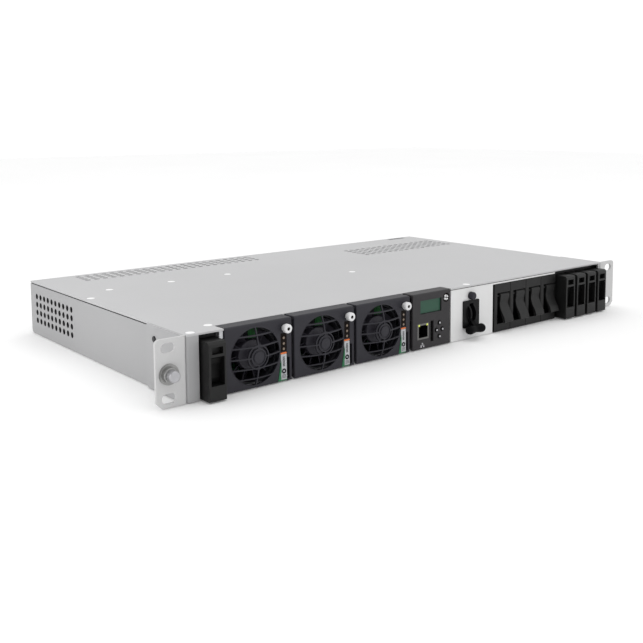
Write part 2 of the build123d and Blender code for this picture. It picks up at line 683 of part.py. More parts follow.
with BuildPart() as controller_face:
    slab((controller_left, 0, 0.3), (controller_right, face, height))
    slab((controller_left, 0, height - 1.8), (controller_right, bezel_depth, height))
    top_front = controller_face.edges().filter_by(Axis.X).filter_by_position(
        Axis.Z, height - 0.01, height + 0.01)
    fillet(top_front.sort_by(Axis.Y)[0], 1.6)
    fillet(controller_face.edges().filter_by(Axis.Z).group_by(Axis.Y)[0], 0.7)
    slab((lcd_low[0], -1, lcd_low[1]), (lcd_high[0], face + 1, lcd_high[1]), mode=Mode.SUBTRACT)
    half = jack_outer / 2 + 0.2
    slab((jack_x - half, -1, jack_z - half), (jack_x + half, face + 1, jack_z + half), mode=Mode.SUBTRACT)
    slab((-4.9, -1, 4.6), (-1.6, face + 1, 21.0), mode=Mode.SUBTRACT)
    for x, z in button_spots.values():
        rod_y(x, z, button_r + 0.35, -1, face + 1, mode=Mode.SUBTRACT)
    rod_y(controller_screw_x, controller_screw_z, 3.6, -1, 1.2, mode=Mode.SUBTRACT)
    rod_y(controller_screw_x, controller_screw_z, 2.0, 0, face + 1, mode=Mode.SUBTRACT)
save(controller_face.part, "controller_faceplate")

with BuildPart() as controller_lcd:
    slab((lcd_low[0] - 1.5, face + 0.05, lcd_low[1] - 1.5), (lcd_high[0] + 1.5, 5.2, lcd_high[1] + 1.5))
    slab((lcd_low[0] + 0.2, 1.3, lcd_low[1] + 0.2), (lcd_high[0] - 0.2, face + 0.05, lcd_high[1] - 0.2))
save(controller_lcd.part, "controller_lcd")

with BuildPart() as network_jack:
    half = jack_outer / 2
    slab((jack_x - half, 0.2, jack_z - half), (jack_x + half, 0.2 + jack_depth + 2, jack_z + half))
    half = jack_opening / 2
    slab((jack_x - half, -1, jack_z - half), (jack_x + half, 0.2 + jack_depth, jack_z + half),
         mode=Mode.SUBTRACT)
save(network_jack.part, "network_jack")

front_board_y = 7.0
with BuildPart() as controller_board:
    slab((controller_left + 2, 16, 3.6), (controller_right - 2, 150, 5.2))
    slab((-1.0, front_board_y, 3.6), (12.0, front_board_y + 1.4, 24))
    slab((-1.0, front_board_y, 3.6), (12.0, 17, 5.2))
    slab((-14, 40, 3.6), (8, 62, 9))
    slab((-16, 80, 3.6), (-2, 130, 22))
    slab((2, 84, 3.6), (12, 126, 16))
save(controller_board.part, "controller_board")

with BuildPart() as controller_screw:
    rod_y(controller_screw_x, controller_screw_z, 2.5, -0.4, 0.9)
    chamfer(controller_screw.edges().filter_by(GeomType.CIRCLE).group_by(Axis.Y)[0], 0.5)
    for half_x, half_z in ((1.7, 0.4), (0.4, 1.7)):
        slab((controller_screw_x - half_x, -2, controller_screw_z - half_z),
             (controller_screw_x + half_x, 0.4, controller_screw_z + half_z), mode=Mode.SUBTRACT)
    rod_y(controller_screw_x, controller_screw_z, 1.6, 0.9, 11)
save(controller_screw.part, "controller_screw")

for name, (x, z) in button_spots.items():
    with BuildPart() as button:
        rod_y(x, z, button_r, -0.7, face + 0.2)
        fillet(button.edges().filter_by(GeomType.CIRCLE).group_by(Axis.Y)[0], 0.5)
        rod_y(x, z, button_r + 0.9, face + 0.2, face + 1.2)
    save(button.part, f"nav_{name}_button")
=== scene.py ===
import json
from math import asin, cos, pi, radians, sin

import bmesh
import bpy
from mathutils import Matrix, Vector


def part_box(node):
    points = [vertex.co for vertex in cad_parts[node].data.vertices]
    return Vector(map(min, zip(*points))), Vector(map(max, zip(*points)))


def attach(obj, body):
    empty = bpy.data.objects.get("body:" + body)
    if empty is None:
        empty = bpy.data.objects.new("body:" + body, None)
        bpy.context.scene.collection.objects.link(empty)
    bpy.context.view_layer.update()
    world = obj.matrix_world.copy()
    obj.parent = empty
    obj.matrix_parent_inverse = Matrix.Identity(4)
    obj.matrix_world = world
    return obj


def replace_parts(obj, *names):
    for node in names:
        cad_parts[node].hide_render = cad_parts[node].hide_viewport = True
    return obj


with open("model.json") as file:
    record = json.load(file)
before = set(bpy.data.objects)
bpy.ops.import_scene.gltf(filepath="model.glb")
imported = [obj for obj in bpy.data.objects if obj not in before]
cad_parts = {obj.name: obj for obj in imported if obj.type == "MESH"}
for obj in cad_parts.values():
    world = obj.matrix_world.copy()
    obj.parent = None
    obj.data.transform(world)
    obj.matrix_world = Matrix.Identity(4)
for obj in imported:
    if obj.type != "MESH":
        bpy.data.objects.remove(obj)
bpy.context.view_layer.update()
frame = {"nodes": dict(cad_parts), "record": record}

MM = 0.001
NODES = frame["nodes"]
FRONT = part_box("left_rack_ear")[0].y      # the ears' front plane
MODULES = (1, 2, 3)

# Corners, in metres, of the space just within the case's outer skin, where its cut edges and inside faces
# lie.
# These are drawn dark grey as painted shade, so that the holes and slots look dark.
CASE_LOW = (-0.21992, -0.1207, 0.00005)
CASE_HIGH = (0.21992, 0.1339, 0.0424)

# Where each ear's side flange lies, in metres: out from the middle, and back from the ears' front plane.
FLANGE_INNER, FLANGE_OUTER = 0.2190, 0.2235
FLANGE_START = 0.0022


# ---- Materials -------------------------------------------------------------------------------

def linear(red, green, blue):
    """A colour given in display values from 0 to 255, as the shader wants it."""
    return tuple(((v / 255 + 0.055) / 1.055) ** 2.4 if v > 10 else v / 255 / 12.92
                 for v in (red, green, blue)) + (1.0,)


class Surface:
    """A node material in the making: a Principled shader with object coordinates to draw patterns on."""

    def __init__(self, name):
        self.material = bpy.data.materials.new(name)
        self.material.use_nodes = True
        self.tree = self.material.node_tree
        self.shader = self.tree.nodes["Principled BSDF"]
        self.coords = self.add("ShaderNodeTexCoord").outputs["Object"]

    def add(self, kind, **settings):
        """Adds a node of a kind, with its settings."""
        node = self.tree.nodes.new(kind)
        for key, value in settings.items():
            setattr(node, key, value)
        return node

    def link(self, source, target):
        self.tree.links.new(source, target)

    def noise(self, scale, detail=3.0, stretch=(1, 1, 1)):
        """Noise with a feature about 1/scale metres across, longer along an axis where stretch is small."""
        mapping = self.add("ShaderNodeMapping")
        mapping.inputs["Scale"].default_value = stretch
        self.link(self.coords, mapping.inputs["Vector"])
        noise = self.add("ShaderNodeTexNoise")
        noise.inputs["Scale"].default_value = scale
        noise.inputs["Detail"].default_value = detail
        self.link(mapping.outputs["Vector"], noise.inputs["Vector"])
        return noise.outputs["Fac"]

    def ramp(self, value, low, high, dark, light):
        """Maps a value's low..high to a blend of two colours."""
        ramp = self.add("ShaderNodeValToRGB")
        ramp.color_ramp.elements[0].position = low
        ramp.color_ramp.elements[1].position = high
        ramp.color_ramp.elements[0].color = dark
        ramp.color_ramp.elements[1].color = light
        self.link(value, ramp.inputs["Fac"])
        return ramp.outputs["Color"]

    def spread(self, value, low, high):
        """Maps noise to a number between low and high."""
        span = self.add("ShaderNodeMapRange")
        span.inputs["From Min"].default_value = 0.3
        span.inputs["From Max"].default_value = 0.7
        span.inputs["To Min"].default_value = low
        span.inputs["To Max"].default_value = high
        self.link(value, span.inputs["Value"])
        return span.outputs["Result"]

    def bump(self, value, strength, depth):
        """Raises the surface by a value, up to a depth in metres."""
        bump = self.add("ShaderNodeBump")
        bump.inputs["Strength"].default_value = strength
        bump.inputs["Distance"].default_value = depth
        self.link(value, bump.inputs["Height"])
        self.link(bump.outputs["Normal"], self.shader.inputs["Normal"])


def tinted(colour, factor):
    """A colour made darker or lighter by a factor."""
    return tuple(min(1.0, c * factor) for c in colour[:3]) + (1.0,)


def finish(name, colour, rough, metal=0.0, vary=0.05, patch=60, grain=2600, depth=0.00004, strength=0.35,
           stretch=(1, 1, 1)):
    """A coated, moulded or machined surface: patchy colour, patchy gloss and a fine grain."""
    surface = Surface(name)
    tone = surface.noise(patch, 4.0)
    surface.link(surface.ramp(tone, 0.32, 0.68, tinted(colour, 1 - vary), tinted(colour, 1 + vary)),
                 surface.shader.inputs["Base Color"])
    fine = surface.noise(grain, 2.0, stretch)
    surface.link(surface.spread(fine, rough * 0.85, min(1.0, rough * 1.15)),
                 surface.shader.inputs["Roughness"])
    surface.shader.inputs["Metallic"].default_value = metal
    surface.bump(fine, strength, depth)
    return surface.material


def plastic(name, colour, rough, sheen=0.35):
    """Moulded plastic with a fine spark-eroded grain and a low sheen."""
    material = finish(name, colour, rough, vary=0.06, patch=80, grain=3200)
    material.node_tree.nodes["Principled BSDF"].inputs["Specular IOR Level"].default_value = sheen
    return material


def paint_shade_in_box(material, low, high, inside):
    """Another colour, as painted shade, for what lies in a box between two corners, in metres."""
    tree = material.node_tree
    shader = tree.nodes["Principled BSDF"]
    outside = shader.inputs["Base Color"].links[0].from_socket
    coords = next(n for n in tree.nodes if n.type == "TEX_COORD")
    split = tree.nodes.new("ShaderNodeSeparateXYZ")
    tree.links.new(coords.outputs["Object"], split.inputs["Vector"])
    mask = None
    for axis, least, most in zip("XYZ", low, high):
        within = tree.nodes.new("ShaderNodeMath")
        within.operation = "COMPARE"
        within.inputs[1].default_value = (least + most) / 2
        within.inputs[2].default_value = (most - least) / 2
        tree.links.new(split.outputs[axis], within.inputs[0])
        if mask is None:
            mask = within.outputs["Value"]
            continue
        both = tree.nodes.new("ShaderNodeMath")
        both.operation = "MULTIPLY"
        tree.links.new(mask, both.inputs[0])
        tree.links.new(within.outputs["Value"], both.inputs[1])
        mask = both.outputs["Value"]
    mix = tree.nodes.new("ShaderNodeMix")
    mix.data_type = "RGBA"
    mix.inputs["B"].default_value = inside
    tree.links.new(mask, mix.inputs["Factor"])
    tree.links.new(outside, mix.inputs["A"])
    tree.links.new(mix.outputs["Result"], shader.inputs["Base Color"])
    return material


def circuit_board(name, mask, trace, sheen=0.5):
    """Solder mask with paler copper traces under it."""
    surface = Surface(name)
    bricks = surface.add("ShaderNodeTexBrick")
    bricks.inputs["Scale"].default_value = 160
    bricks.inputs["Mortar Size"].default_value = 0.03
    bricks.inputs["Color1"].default_value = mask
    bricks.inputs["Color2"].default_value = tinted(mask, 0.7)
    bricks.inputs["Mortar"].default_value = trace
    surface.link(surface.coords, bricks.inputs["Vector"])
    surface.link(bricks.outputs["Color"], surface.shader.inputs["Base Color"])
    surface.shader.inputs["Roughness"].default_value = 0.35
    surface.shader.inputs["Specular IOR Level"].default_value = sheen
    surface.bump(surface.noise(1500), 0.2, 0.00003)
    return surface.material


def display(name):
    """An unlit liquid-crystal panel: a pale green field with a faint pixel grid under a glossy window."""
    surface = Surface(name)
    grid = surface.add("ShaderNodeTexChecker")
    grid.inputs["Scale"].default_value = 1400
    grid.inputs["Color1"].default_value = linear(44, 84, 66)
    grid.inputs["Color2"].default_value = linear(38, 74, 58)
    surface.link(surface.coords, grid.inputs["Vector"])
    surface.link(grid.outputs["Color"], surface.shader.inputs["Base Color"])
    surface.shader.inputs["Roughness"].default_value = 0.35
    surface.shader.inputs["Specular IOR Level"].default_value = 0.3
    surface.bump(surface.noise(700), 0.05, 0.00002)
    return surface.material


def lamp_lens(name, colour, glow=0.0):
    """A small moulded lens, with a little light in it where it is lit."""
    surface = Surface(name)
    tone = surface.noise(900, 2.0)
    surface.link(surface.ramp(tone, 0.3, 0.7, tinted(colour, 0.85), tinted(colour, 1.1)),
                 surface.shader.inputs["Base Color"])
    surface.shader.inputs["Roughness"].default_value = 0.25
    surface.shader.inputs["Emission Color"].default_value = colour
    surface.shader.inputs["Emission Strength"].default_value = glow
    return surface.material


CASE_PAINT = linear(166, 166, 167)
# Dark grey for the case's inside faces and hole edges: painted shade.
INSIDE_SHADE_GREY = linear(52, 52, 53)


def ear_paint():
    """The ears' pale paint, with the flange that lies along the case darkened to the case's tone as painted
    shade.
    """
    material = finish("ear_paint", linear(196, 196, 196), 0.5, vary=0.02, patch=30)
    back = FRONT + FLANGE_START
    # The side flanges in the case's darker tone: painted shade.
    for side in (-1, 1):
        edges = sorted((side * FLANGE_INNER, side * FLANGE_OUTER))
        paint_shade_in_box(material, (edges[0], back, -0.001), (edges[1], 0.0, 0.05), CASE_PAINT)
    return material


FINISHES = {
    "cover_paint": paint_shade_in_box(finish("cover_paint", linear(188, 188, 189), 0.55, vary=0.018, patch=9),
                            CASE_LOW, CASE_HIGH, INSIDE_SHADE_GREY),
    "chassis_paint": paint_shade_in_box(finish("chassis_paint", CASE_PAINT, 0.55, vary=0.018, patch=12),
                              CASE_LOW, CASE_HIGH, INSIDE_SHADE_GREY),
    "ear_paint": ear_paint(),
    "panel_silver": finish("panel_silver", linear(219, 219, 219), 0.5, vary=0.02, patch=30),
    "divider_zinc": finish("divider_zinc", linear(196, 197, 200), 0.42, metal=0.5, vary=0.06, patch=200,
                           grain=1800, stretch=(1, 0.05, 1)),
    "bright_steel": finish("bright_steel", linear(176, 176, 179), 0.34, metal=0.8, vary=0.04, patch=300),
    "dark_steel": finish("dark_steel", linear(30, 30, 32), 0.4, metal=0.3, vary=0.1, patch=300),
    "can_steel": finish("can_steel", linear(150, 150, 154), 0.4, metal=0.9, vary=0.06, patch=90,
                        stretch=(1, 0.05, 1)),
    "module_plastic": plastic("module_plastic", linear(38, 37, 44), 0.55),
    "controller_plastic": plastic("controller_plastic", linear(44, 42, 44), 0.55),
    "breaker_black": plastic("breaker_black", linear(14, 14, 14), 0.5),
    "lever_black": plastic("lever_black", linear(22, 22, 22), 0.5),
    "rocker_black": plastic("rocker_black", linear(12, 12, 12), 0.4, 0.15),
    "switch_black": plastic("switch_black", linear(14, 14, 15), 0.42, 0.15),
    "fan_black": plastic("fan_black", linear(26, 26, 30), 0.5),
    "board_green": circuit_board("board_green", linear(18, 84, 48), linear(50, 118, 72)),
    "handle_green": finish("handle_green", linear(30, 106, 65), 0.4, vary=0.05, patch=150, grain=3400),
    "thumbscrew_white": finish("thumbscrew_white", linear(225, 225, 226), 0.4, metal=0.1, vary=0.02,
                               patch=300),
    "display_green": display("display_green"),
    # The jack near-black behind its front rim: partly its black insert, partly painted shade in its depth.
    "jack_steel": paint_shade_in_box(plastic("jack_steel", linear(104, 103, 101), 0.4),
                           (-0.1, FRONT + 0.00025, 0.0), (0.1, 0.0, 0.05), linear(6, 6, 6)),
    "button_grey": plastic("button_grey", linear(14, 14, 15), 0.4, 0.12),
    "terminal_black": plastic("terminal_black", linear(22, 22, 23), 0.5),
}
ORANGE = finish("orange_plastic", linear(222, 112, 50), 0.4, vary=0.06, patch=400)
LABEL = finish("label_film", linear(178, 180, 183), 0.3, vary=0.02, patch=400, depth=0.00001)
PRINT = plastic("label_print", linear(28, 28, 34), 0.5, 0.1)
# Near-black for the lamp windows, also used as painted shade in the thumbscrew sockets, round and behind
# the controller's screw and under the cover's front edge.
WINDOW_AND_SHADE_BLACK = plastic("light_window", linear(19, 12, 8), 0.5, 0.08)
LENS = lamp_lens("status_lens", linear(128, 112, 98))
LINK_LIGHT = lamp_lens("link_light", linear(196, 206, 90), 0.35)
# Pale marks: the printed network mark, and the painted highlight dots on the buttons.
PRINT_AND_HIGHLIGHT = finish("button_dot", linear(196, 196, 200), 0.35, vary=0.04, patch=700)
# The cover's rivets drawn white: a painted highlight.
RIVET_HIGHLIGHT = finish("rivet_highlight", linear(244, 244, 244), 0.4, vary=0.02, patch=400)
WASHER = finish("washer_steel", linear(150, 150, 149), 0.36, metal=0.8, vary=0.08, patch=500)
CONTACT = finish("contact_gold", linear(196, 160, 90), 0.3, metal=0.9, vary=0.05, patch=900)
FAN_PLASTIC = plastic("fan_plastic", linear(46, 44, 52), 0.5)
GRIP = plastic("switch_grip", linear(11, 11, 12), 0.42, 0.05)
KNOB = plastic("knob_plastic", linear(46, 45, 52), 0.42, 0.15)
SENSE_BOARD = circuit_board("sense_board", linear(16, 58, 24), linear(26, 78, 36), 0.08)

for subpart in frame["record"]["subparts"]:
    node = NODES[subpart["node"]]
    for place in node.material_slots:
        place.material = FINISHES[subpart["material_slot"]]

# Nodes whose finish isn't quite that of their material slot; the rivets' white is a painted highlight.
OWN_FINISHES = {
    "cover_rivets": RIVET_HIGHLIGHT,
    "ground_washers": WASHER,
    "battery_switch_lever": GRIP,
    "panel_knob": KNOB,
}
for name, material in OWN_FINISHES.items():
    for place in NODES[name].material_slots:
        place.material = material


# ---- Mesh helpers ----------------------------------------------------------------------------

def piece(name, mesh, material, body):
    """Makes an object of a bmesh, smooth with crisp edges, and lets it ride on a body."""
    bmesh.ops.recalc_face_normals(mesh, faces=mesh.faces)
    data = bpy.data.meshes.new(name)
    mesh.to_mesh(data)
    mesh.free()
    data.shade_smooth()
    data.set_sharp_from_angle(angle=radians(35))
    data.materials.append(material)
    obj = bpy.data.objects.new(name, data)
    bpy.context.scene.collection.objects.link(obj)
    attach(obj, body)
    return obj


def edges_round(corners):
    """The edges that meet at any of some corners, each once and in a fixed order."""
    return list(dict.fromkeys(edge for corner in corners for edge in corner.link_edges))


def add_block(mesh, low, high, bevel=0.0002, segments=2):
    """A bevelled block between two corners."""
    size = high - low
    made = bmesh.ops.create_cube(mesh, size=1.0)["verts"]
    bmesh.ops.scale(mesh, vec=size, verts=made)
    bmesh.ops.translate(mesh, vec=(low + high) / 2, verts=made)
    bmesh.ops.bevel(mesh, geom=edges_round(made), offset=bevel, segments=segments, profile=0.5,
                    affect="EDGES")


def add_lathe(mesh, centre, axis, profile, steps=32, ripple=None):
    """Turns (along, radius) points round an axis. A point with a third value True has its radius scaled by
    ripple(step) at each step round.
    """
    to_axis = Vector((0, 0, 1)).rotation_difference(Vector(axis)).to_matrix()
    rings = []
    for point in profile:
        along, radius = point[0], point[1]
        rippled = len(point) > 2 and point[2]
        if radius <= 0:
            rings.append([mesh.verts.new(centre + to_axis @ Vector((0, 0, along)))])
            continue
        ring = []
        for k in range(steps):
            angle = 2 * pi * k / steps
            scale = ripple(k) if ripple and rippled else 1.0
            point_on_ring = Vector((cos(angle) * radius * scale, sin(angle) * radius * scale, along))
            ring.append(mesh.verts.new(centre + to_axis @ point_on_ring))
        rings.append(ring)
    for lower, upper in zip(rings, rings[1:]):
        for k in range(steps):
            after = (k + 1) % steps
            if len(lower) == 1 and len(upper) == 1:
                continue
            if len(lower) == 1:
                mesh.faces.new((lower[0], upper[k], upper[after]))
            elif len(upper) == 1:
                mesh.faces.new((lower[k], upper[0], lower[after]))
            else:
                mesh.faces.new((lower[k], upper[k], upper[after], lower[after]))


def add_tile(mesh, corner, across, up, out, bevel=0.00005):
    """A thin bevelled tile: a parallelogram from a corner, raised by out."""
    corners = [corner, corner + across, corner + across + up, corner + up]
    low = [mesh.verts.new(c) for c in corners]
    high = [mesh.verts.new(c + out) for c in corners]
    mesh.faces.new(low)
    mesh.faces.new(high)
    for k in range(4):
        after = (k + 1) % 4
        mesh.faces.new((low[k], low[after], high[after], high[k]))
    bmesh.ops.bevel(mesh, geom=edges_round(high), offset=bevel, segments=2, profile=0.5, affect="EDGES")


# ---- Rectifier modules -----------------------------------------------------------------------

# All in millimetres: across from a module's left edge, back from the ears' front plane, up from the floor.
SLOPE_TOP = (0.3, 19.8)                  # the handle's face runs between these, seen from the side
SLOPE_LOW = (0.0, 1.2)
LABEL_LEFT, LABEL_RIGHT = 44.42, 49.18
LABEL_LOW, LABEL_HIGH = 1.4, 18.85
INK = 0.2                                # the print stands this far off the handle
INK_THICK = 0.04
LINE_HALF_WIDTHS = (0.95, 0.8, 1.0, 0.9, 0.7, 1.0, 0.85, 0.95, 0.7, 0.9)
LINE_START, LINE_PITCH = 10.6, 0.68
RING_HEIGHT = 7.2
BAR_HEIGHTS = (2.6, 3.5, 4.4)
CAP_LEFT, CAP_RIGHT = 44.32, 49.42
CAP_TOP = 20.1

LIGHT_LEFT, LIGHT_RIGHT = 44.35, 49.25
LIGHT_LOW, LIGHT_HIGH = 21.05, 33.25
LIGHT_X = 46.9
LIGHT_HEIGHTS = (22.5, 26.2, 30.1)
LIGHT_R = 0.9

SENSE_BOARD_LOW = (19.8, 2.5, 33.5)
SENSE_BOARD_HIGH = (27.2, 3.2, 39.8)

ROTOR_HUB_R, ROTOR_TIP_R = 10.3, 17.3
ROTOR_BLADES = 11
HUB_LENGTH = 9.6
SHAFT_R = 1.0
BLADE_ROWS, BLADE_COLUMNS = 5, 8
BLADE_PLACE = 5.2                        # the blades' middle, behind the hub's face
BLADE_SINK = 0.3                         # their roots start this far inside the hub
BLADE_ROOT_WIDTH, BLADE_FLARE = 3.4, 1.5
BLADE_HALF_DEPTH, BLADE_BOW = 4.3, 0.7
BLADE_SWEEP = 0.9
BLADE_THICK, BLADE_EDGE = 0.55, 0.25

# The thumbscrew's socket, and the dark disc deep in it, which is painted shade.
SOCKET_R, PLUG_R = 1.15, 1.1
KNURL_STEPS = 96
KNURL_DEPTH = 0.955                      # every third step round the head is drawn in to this share


def spot(number, x, y, z):
    """A point given in millimetres from a module's left edge, the ears' front plane and the floor."""
    return Vector((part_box(f"module_{number}_faceplate")[0].x + x * MM, FRONT + y * MM, z * MM))


def on_slope(number, x, z, proud=0.0):
    """A point on the handle's sloping face at a height."""
    share = (z - SLOPE_LOW[1]) / (SLOPE_TOP[1] - SLOPE_LOW[1])
    return spot(number, x, SLOPE_LOW[0] + (SLOPE_TOP[0] - SLOPE_LOW[0]) * share - proud, z)


def make_label(number):
    """A pale label on the handle with a ring mark and a column of small print, none of it a real mark."""
    body = f"module_{number}_latch"
    mesh = bmesh.new()
    base = on_slope(number, LABEL_LEFT, LABEL_LOW, 0.02)
    rise = on_slope(number, LABEL_LEFT, LABEL_HIGH, 0.02) - base
    add_tile(mesh, base, Vector(((LABEL_RIGHT - LABEL_LEFT) * MM, 0, 0)), rise, Vector((0, -0.16 * MM, 0)))
    piece(f"module_{number}_label", mesh, LABEL, body)
    marks = bmesh.new()
    centre = (LABEL_LEFT + LABEL_RIGHT) / 2
    ink = Vector((0, -INK_THICK * MM, 0))
    for k, half in enumerate(LINE_HALF_WIDTHS):
        add_tile(marks, on_slope(number, centre - half, LINE_START + LINE_PITCH * k, INK),
                 Vector((2 * half * MM, 0, 0)), Vector((0, 0.03 * MM, 0.42 * MM)), ink, 0.00001)
    add_lathe(marks, on_slope(number, centre, RING_HEIGHT, INK), Vector((0, -1, 0.02)).normalized(),
              [(0, 0.7 * MM), (0.07 * MM, 0.75 * MM), (0.07 * MM, 1.75 * MM), (0, 1.8 * MM), (0, 0.7 * MM)])
    for z in BAR_HEIGHTS:
        add_tile(marks, on_slope(number, centre - 1.6, z, INK), Vector((3.2 * MM, 0, 0)),
                 Vector((0, 0.02 * MM, 0.3 * MM)), ink, 0.00001)
    piece(f"module_{number}_label_print", marks, PRINT, body)


def make_handle_cap(number):
    """The orange end at the top of the handle."""
    mesh = bmesh.new()
    add_block(mesh, spot(number, CAP_LEFT, 0.1, LABEL_HIGH + 0.1), spot(number, CAP_RIGHT, 1.6, CAP_TOP),
              0.00025, 3)
    piece(f"module_{number}_handle_cap", mesh, ORANGE, f"module_{number}_latch")


def make_lights(number):
    """The dark light window and its three lenses in their sockets."""
    body = f"module_{number}"
    window = bmesh.new()
    add_block(window, spot(number, LIGHT_LEFT, 0.12, LIGHT_LOW),
              spot(number, LIGHT_RIGHT, 0.62, LIGHT_HIGH), 0.0001)
    for z in LIGHT_HEIGHTS:
        add_lathe(window, spot(number, LIGHT_X, 0.13, z), (0, -1, 0),
                  [(0, 1.35 * MM), (0.12 * MM, 1.3 * MM), (0.12 * MM, 0.95 * MM), (0, 0.93 * MM)], 28)
    piece(f"module_{number}_light_window", window, WINDOW_AND_SHADE_BLACK, body)
    lenses = bmesh.new()
    for z in LIGHT_HEIGHTS:
        add_lathe(lenses, spot(number, LIGHT_X, 0.16, z), (0, -1, 0),
                  [(0, 0), (0, LIGHT_R * MM), (0.15 * MM, LIGHT_R * MM), (0.34 * MM, LIGHT_R * 0.7 * MM),
                   (0.42 * MM, 0)], 24)
    piece(f"module_{number}_status_lenses", lenses, LENS, body)


def make_sense_board(number):
    """A small upright circuit board between the guard and the fan, near the top of the opening."""
    mesh = bmesh.new()
    add_block(mesh, spot(number, *SENSE_BOARD_LOW), spot(number, *SENSE_BOARD_HIGH), 0.0001)
    piece(f"module_{number}_sense_board", mesh, SENSE_BOARD, f"module_{number}")


def add_blade(mesh, centre, turn):
    """A fan blade: a curved plate, twisted from its root at the hub to its tip."""
    out = Vector((cos(turn), 0, sin(turn)))
    side = Vector((-sin(turn), 0, cos(turn)))
    sheets = []
    for face in (-0.5, 0.5):
        rows = []
        for i in range(BLADE_ROWS + 1):
            reach = i / BLADE_ROWS
            radius = (ROTOR_HUB_R - BLADE_SINK + (ROTOR_TIP_R - ROTOR_HUB_R + BLADE_SINK) * reach) * MM
            width = (BLADE_ROOT_WIDTH + BLADE_FLARE * reach) * MM
            row = []
            for k in range(BLADE_COLUMNS + 1):
                along = 2 * k / BLADE_COLUMNS - 1
                thick = (BLADE_THICK * (1 - along * along) + BLADE_EDGE) * MM
                depth = (BLADE_HALF_DEPTH * along + BLADE_BOW * (1 - along * along)) * MM
                sweep = width * along - BLADE_SWEEP * MM * (1 - along * along) + face * thick
                row.append(mesh.verts.new(centre + out * radius + side * sweep + Vector((0, depth, 0))))
            rows.append(row)
        sheets.append(rows)
    first, second = sheets
    # The two faces, then the front and rear edges, then the root and the tip.
    for rows in sheets:
        for lower, upper in zip(rows, rows[1:]):
            for k in range(BLADE_COLUMNS):
                mesh.faces.new((lower[k], lower[k + 1], upper[k + 1], upper[k]))
    for i in range(BLADE_ROWS):
        for k in (0, BLADE_COLUMNS):
            mesh.faces.new((first[i][k], first[i + 1][k], second[i + 1][k], second[i][k]))
    for i in (0, BLADE_ROWS):
        for k in range(BLADE_COLUMNS):
            mesh.faces.new((first[i][k], first[i][k + 1], second[i][k + 1], second[i][k]))


def make_rotor(number):
    """The fan's rotor: a broad capped hub with a small boss, a shaft and a ring of close blades."""
    node = f"module_{number}_fan_rotor"
    frame_low, frame_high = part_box(f"module_{number}_fan_frame")
    low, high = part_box(node)
    nose = Vector(((frame_low.x + frame_high.x) / 2, low.y + 0.3 * MM, (frame_low.z + frame_high.z) / 2))
    tail = nose.y - high.y
    profile = [(0.25 * MM, 0), (0.2 * MM, 4.0 * MM), (0.0, 4.6 * MM), (0.0, (ROTOR_HUB_R - 1.4) * MM),
               (-0.35 * MM, (ROTOR_HUB_R - 0.4) * MM), (-1.3 * MM, ROTOR_HUB_R * MM),
               (-HUB_LENGTH * MM, ROTOR_HUB_R * MM), (-HUB_LENGTH * MM, SHAFT_R * MM),
               (tail, SHAFT_R * MM), (tail, 0)]
    mesh = bmesh.new()
    add_lathe(mesh, nose, (0, -1, 0), profile, 64)
    for k in range(ROTOR_BLADES):
        add_blade(mesh, nose + Vector((0, BLADE_PLACE * MM, 0)), 2 * pi * k / ROTOR_BLADES)
    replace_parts(piece(f"{node}_bladed", mesh, FAN_PLASTIC, f"module_{number}_fan"), node)


def make_thumbscrew(number):
    """A knurled head with a socket, a collar and a shank; a dark disc deep in the socket is painted shade.
    """
    node = f"module_{number}_thumbscrew"
    body = f"module_{number}_screw"
    low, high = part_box(node)
    centre = (low + high) / 2
    nose = Vector((centre.x, low.y, centre.z))
    radius = (high.x - low.x) / 2
    length = high.y - low.y
    socket = SOCKET_R * MM
    profile = [(-1.7 * MM, 0), (-1.7 * MM, socket), (-0.12 * MM, socket), (0.0, socket + 0.12 * MM),
               (0.0, radius - 0.85 * MM), (-0.22 * MM, radius - 0.3 * MM), (-0.6 * MM, radius, True),
               (-3.4 * MM, radius, True), (-3.7 * MM, radius - 0.25 * MM), (-3.8 * MM, 2.3 * MM),
               (-5.25 * MM, 2.25 * MM), (-5.3 * MM, 1.6 * MM), (-length, 1.55 * MM), (-length, 0)]
    mesh = bmesh.new()
    add_lathe(mesh, nose, (0, -1, 0), profile, KNURL_STEPS, lambda k: 1.0 if k % 3 else KNURL_DEPTH)
    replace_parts(piece(f"{node}_knurled", mesh, FINISHES["thumbscrew_white"], body), node)
    # A dark disc deep in the socket: painted shade.
    plug = bmesh.new()
    add_lathe(plug, nose, (0, -1, 0),
              [(-1.65 * MM, 0), (-1.65 * MM, PLUG_R * MM), (-0.4 * MM, PLUG_R * MM), (-0.5 * MM, 0)], 24)
    piece(f"{node}_socket", plug, WINDOW_AND_SHADE_BLACK, body)


for number in MODULES:
    make_label(number)
    make_handle_cap(number)
    make_lights(number)
    make_sense_board(number)
    make_rotor(number)
    make_thumbscrew(number)


# ---- Controller ------------------------------------------------------------------------------

CONTACTS = 8
CONTACT_PITCH = 1.02
MARK_HEIGHT = 3.1
RECESS_DEPTH = 0.88
CROSS_HALF = 0.42                        # half the width of the screw's cross recess
CROSS_TURN = radians(12)
ARC_STEPS = 8
RIBS, RIB_START, RIB_PITCH = 5, 6.4, 3.1


